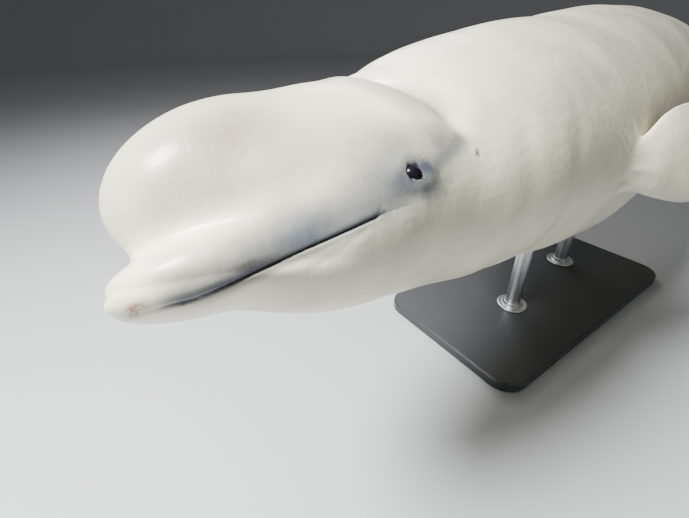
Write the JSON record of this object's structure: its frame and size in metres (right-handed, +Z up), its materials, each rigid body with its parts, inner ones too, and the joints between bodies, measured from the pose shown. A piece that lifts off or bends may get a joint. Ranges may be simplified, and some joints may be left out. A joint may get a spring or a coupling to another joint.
{
  "type": "beluga whale on a display stand",
  "caption": "Life-size white beluga whale held still, head turned and body banked as when it looks up beside the water line, on a flat base with short steel rods.",
  "frame": {"origin": "middle of the underside of the stand's base, which is the bottom of the bounding box, centred on the box in plan", "axes": "+X from the snout towards the tail, +Y towards the whale's right side, +Z up"},
  "size_m": [3.9042, 0.9016, 1.2214],
  "materials": {
    "white_skin": "smooth wet white skin, faintly mottled",
    "pale_flipper": "smooth wet skin, greyer at the edge",
    "dark_eye": "wet and dark, gloss",
    "stand_base": "satin dark grey",
    "stand_steel": "brushed"
  },
  "bodies": {
    "root": {"melon": "white_skin", "upper_jaw": "white_skin", "lower_jaw": "white_skin", "head": "white_skin", "neck": "white_skin", "chest": "white_skin", "torso": "white_skin", "loin": "white_skin", "tail_stock": "white_skin", "dorsal_ridge": "white_skin", "fluke_left": "white_skin", "fluke_right": "white_skin", "flipper_left": "pale_flipper", "flipper_right": "pale_flipper", "eye_left": "dark_eye", "eye_right": "dark_eye", "stand_base": "stand_base", "stand_rod_front": "stand_steel", "stand_rod_rear": "stand_steel"}
  },
  "joints": []
}
